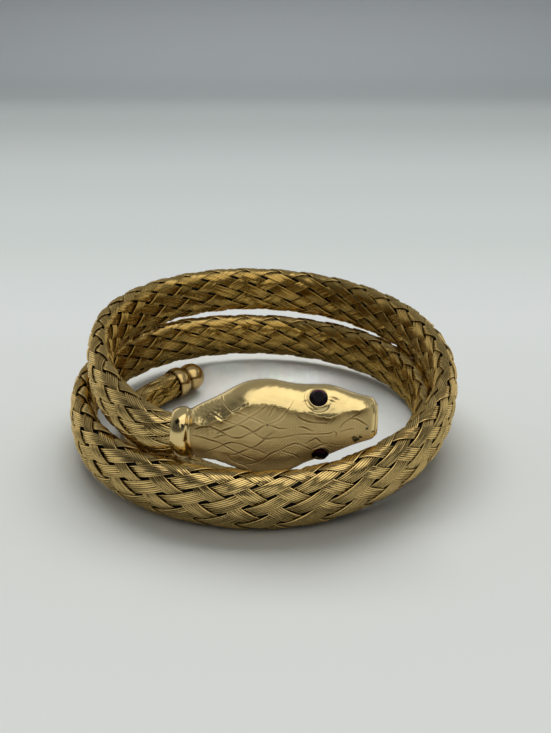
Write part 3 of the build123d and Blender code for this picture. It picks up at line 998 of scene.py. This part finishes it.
# Eye seats: a raised ring round each stone on a flatter stretch, and a flat floor under it
for eye_x, eye_share, tilt, folded in EYES:
    eye_middle, eye_half, eye_outward, _ = smooth_rows(HEAD, np.array(eye_x))
    eye_depth = eye_outward * (1 - abs(eye_share) ** HEAD_SQUARENESS) ** (1 / HEAD_SQUARENESS)
    axis = np.array([0, -cos(radians(tilt)), sin(radians(tilt))])
    seat = np.add(CENTRE, (eye_x, HEAD_Y - eye_depth, eye_middle + eye_share * eye_half)) + axis * EYE_LIFT
    height = (points - seat) @ axis
    around = points - seat - height[..., None] * axis
    reach = np.linalg.norm(around, axis=-1)
    near = height > -EYE_SIDE
    rim = bell(reach, *RIM_PLACE, power=4) * near
    corner = CORNER_BACK * around[..., 0] + CORNER_DOWN * np.sign(eye_share) * around[..., 2]
    folds = sum(strength * bell(reach, *where) for *where, strength in FOLDS)
    folds *= near * ease(corner / np.maximum(reach, 0.5), *FOLD_STEP) * folded
    level = FLAT_SHARE * near * ease(reach, FLAT_START + FLAT_FOLDED * folded, FLAT_FULL)
    relief = (RIM_RELIEF * rim - level * (height + FLAT_LEVEL)) * folded - FOLD_RELIEF * folds
    points += axis * relief[..., None]
    height = (points - seat) @ axis
    pit = near & (reach < SEAT_RADIUS)
    points[pit] -= (height[pit] + SEAT_DEPTH)[:, None] * axis
    darkening = np.maximum(darkening, near * (FOLD_DARKENING * folds + folded * bell(reach, *DIRT_RING)))
    shine = np.where(near & (reach < POLISH_REACH * folded), np.maximum(shine, EYE_POLISH), shine)

# Recess in the collar that takes the band's end, and the closing points inside it and at the snout
socket_out, socket_up, *_ = girth_outline(head_angles, SOCKET_SQUARENESS, SOCKET_HALF, SOCKET_REACH)
socket_middle = CENTRE[2] + smooth_rows(HEAD, np.array(SOCKET_X))[0]


def socket_ring(station, size=1.0, slant=0.0):
    """Ring of the recess at a station, drawn in to a size, and slanted by a share of the collar's slant."""
    x = CENTRE[0] + station + slant * collar_slant(socket_up)
    return np.stack([x, CENTRE[1] + HEAD_Y - size * socket_out, socket_middle + size * socket_up], axis=-1)


def snout_ring(size):
    """Ring of the snout's blunt end, drawn in to a size about its middle."""
    tip = np.add(CENTRE, (SNOUT_X, HEAD_Y, HEAD[-1][1]))
    return tip + (points[-1] - tip) * np.array([size**2, size, size])


socket_rings = [socket_ring(SOCKET_X, size) for size in SOCKET_SIZES]
socket_rings += [socket_ring(station_there, slant=share) for station_there, share in MOUTH_RINGS]
snout_rings = [snout_ring(size) for size in SNOUT_SIZES]
head_points = np.concatenate([socket_rings, points, snout_rings])
head_mesh = grid_mesh("snake_head_cast", head_points, wrap_columns=True, close_ends=True)


def with_ends(values, inner=0, outer=0):
    """Values at the head's points, with one value in the recess and one on the snout's end."""
    added = ((len(socket_rings), len(snout_rings)), (0, 0))
    return np.pad(values, added, constant_values=((inner, outer), (0, 0)))


hatched = face * ease(station + 1.2 * np.sin(2 * rise), *HATCH_STEP) * (1 - lines)
keep_value(head_mesh, "depth", with_ends((UNDARKENED_BRIGHT - darkening).clip(0, 1), *END_BRIGHT))
keep_value(head_mesh, "shine", with_ends(shine, *END_POLISH))
keep_value(head_mesh, "hatch", with_ends(hatched))
keep_value(head_mesh, "stain_and_reflection", with_ends(stain_and_reflection))

head_gold, tree, shader, colour, dullness = gold_material(
    "head_gold", HEAD_BRIGHT, HEAD_DARK, cloud_size=260, smooth=0.46, rough=0.60
)
polished = math_output(tree, "MULTIPLY_ADD", kept_value(tree, "shine"), POLISH_DULLNESS, dullness)
stained_and_reflecting = mix_colours(tree, kept_value(tree, "stain_and_reflection"), colour, STAIN_AND_REFLECTION_TONE)
hatching = kept_value(tree, "hatch")
for slant in HATCH_SLANTS:
    turn_by = {"Vector": object_place(tree), "Rotation": (0, radians(slant), 0)}
    turned = add_node(tree, "ShaderNodeMapping", turn_by).outputs["Vector"]
    strokes = add_node(tree, "ShaderNodeTexWave", {"Vector": turned, **HATCH_STROKES})
    hatching = math_output(tree, "MULTIPLY", strokes.outputs["Fac"], hatching)
pressed = add_node(tree, "ShaderNodeBump", {"Height": hatching, "Distance": HATCH_DEPTH})
feed(tree, shader, {"Base Color": stained_and_reflecting, "Roughness": polished, "Normal": pressed.outputs["Normal"]})

head = place("snake_head_cast", head_mesh, head_gold)
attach(head, "root")
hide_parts("snake_head")

# Eyes

# Two round stones with a flat table and a ring of facets, a garnet so dark that it
# looks black, each held in its ring. The stones are the frame's own cut solids.
EYE_BLACK = (0.006, 0.002, 0.004, 1)
EYE_PLUM_SHEEN = (0.075, 0.008, 0.035, 1)
CLOUDY_SCALE = 700
CLOUDY_SHARE = 0.3
# Painted sheen: facets that face up turn plum, by their normal's rise with the clouds added to it
SHEEN_STEP = (0.90, 1.15)
EYE_LOOK = {"Roughness": 0.05, "IOR": 1.55, "Specular IOR Level": 0.06}

dark_garnet, tree, shader = new_material("dark_garnet")
facing = add_node(tree, "ShaderNodeNewGeometry").outputs["True Normal"]
upness = add_node(tree, "ShaderNodeSeparateXYZ", {"Vector": facing}).outputs["Z"]
sheen_share = math_output(tree, "MULTIPLY_ADD", noise(tree, CLOUDY_SCALE), CLOUDY_SHARE, upness)
stone = mix_colours(tree, map_range(tree, sheen_share, *SHEEN_STEP), EYE_BLACK, EYE_PLUM_SHEEN)
feed(tree, shader, {"Base Color": stone, **EYE_LOOK})
for name in ("eye_upper", "eye_lower"):
    for material_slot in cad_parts[name].material_slots:
        material_slot.material = dark_garnet

# Tail cap

# The tail's end: a bead and a ball turned in one piece, soldered over the band's end
# and gilt, worn bright, and darker in the waist between them and at the mouth.
CAP_OVERLAP = 1.0
CAP_SOCKET_DEPTH = 1.1
CAP_SOCKET_RADIUS = 2.58
CAP_MOUTH_RADIUS = 2.80
BEAD_RADIUS = 3.0
BEAD_CENTRE = 1.5
WAIST = 3.15
BALL_RADIUS = 2.75
BALL_CENTRE = 4.75
# Rounded edge of the mouth, within and without, and the radius that a closing face covers at each end
MOUTH_EDGE = 0.02
MOUTH_ROUND = (0.04, 0.03)
POLE = 0.002
CAP_COLUMNS = 96
BEAD_POINTS = 26
BALL_POINTS = 44
# Dents of the turned surface: how deep, how many round, how they wind along it, and where they start
DENTS = ((0.010, 3, 1.3, 0), (0.0075, 7, -2.1, 1))
WAIST_DARK_WIDTH = 0.30
MOUTH_DARK_REACH = 0.35
CAP_UNDARKENED_BRIGHT = 0.8
CAP_DARKENING = 0.9
CAP_BRIGHT = (0.65, 0.46, 0.19, 1)
CAP_DARK = (0.12, 0.07, 0.02, 1)


def arc_through(start, middle, end, count):
    """Points along the circle through three points of a profile, from the first to the last."""
    a, b, c = (complex(*p) for p in (start, middle, end))
    w = (c - a) / (b - a)
    hub = a + (b - a) * (w - abs(w) ** 2) / (2j * w.imag)
    swept = np.angle((c - hub) / (a - hub))
    angles = np.angle(a - hub) + np.linspace(0, swept, count)
    return [(hub.real + abs(a - hub) * cos(t), hub.imag + abs(a - hub) * sin(t)) for t in angles]


# Profile of radius and way along the axis: the socket, the rounded mouth, the bead and the ball
waist_radius = (BALL_RADIUS**2 - (BALL_CENTRE - WAIST) ** 2) ** 0.5
profile = [(radius, CAP_SOCKET_DEPTH) for radius in (POLE, 1.4, CAP_SOCKET_RADIUS)]
profile += [(CAP_SOCKET_RADIUS, 0.5), (CAP_SOCKET_RADIUS, MOUTH_EDGE)]
profile += [(CAP_SOCKET_RADIUS + MOUTH_EDGE, 0.0), (CAP_MOUTH_RADIUS - MOUTH_ROUND[0], 0.0)]
lip, tip = (CAP_MOUTH_RADIUS, MOUTH_ROUND[1]), (POLE, BALL_CENTRE + BALL_RADIUS)
profile += arc_through(lip, (BEAD_RADIUS, BEAD_CENTRE), (waist_radius, WAIST), BEAD_POINTS)
profile += arc_through((waist_radius, WAIST), (BALL_RADIUS, BALL_CENTRE), tip, BALL_POINTS)[1:]
reach, way_along = np.array(profile).T[:, :, None]
cap_angle = np.linspace(2 * np.pi, 0, CAP_COLUMNS, endpoint=False)
dent = sum(depth * np.sin(n * cap_angle + wind * way_along + start) for depth, n, wind, start in DENTS)
reach = reach * (1 + dent * ease(reach, 0.2, 2.0) * ease(way_along, 0.0, 0.6))
axis, upward = tangents[-1], upwards[-1]
sideward = np.cross(axis, upward)
mouth = middles[-1] - axis * CAP_OVERLAP
up, side = reach * np.cos(cap_angle), reach * np.sin(cap_angle)
cap_points = mouth + way_along[..., None] * axis + up[..., None] * upward + side[..., None] * sideward
cap_mesh = grid_mesh("tail_cap_turned", cap_points, wrap_columns=True, close_ends=True)
cap_darkening = bell(way_along, WAIST, WAIST_DARK_WIDTH) + ease(way_along, MOUTH_DARK_REACH, 0.0)
keep_value(cap_mesh, "depth", (CAP_UNDARKENED_BRIGHT - CAP_DARKENING * cap_darkening + 0 * cap_angle).clip(0, 1))

turned_gold, *_ = gold_material(
    "turned_gold", CAP_BRIGHT, CAP_DARK, cloud_size=500, smooth=0.10, rough=0.30
)
cap = place("tail_cap_turned", cap_mesh, turned_gold)
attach(cap, "root")
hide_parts("tail_cap")
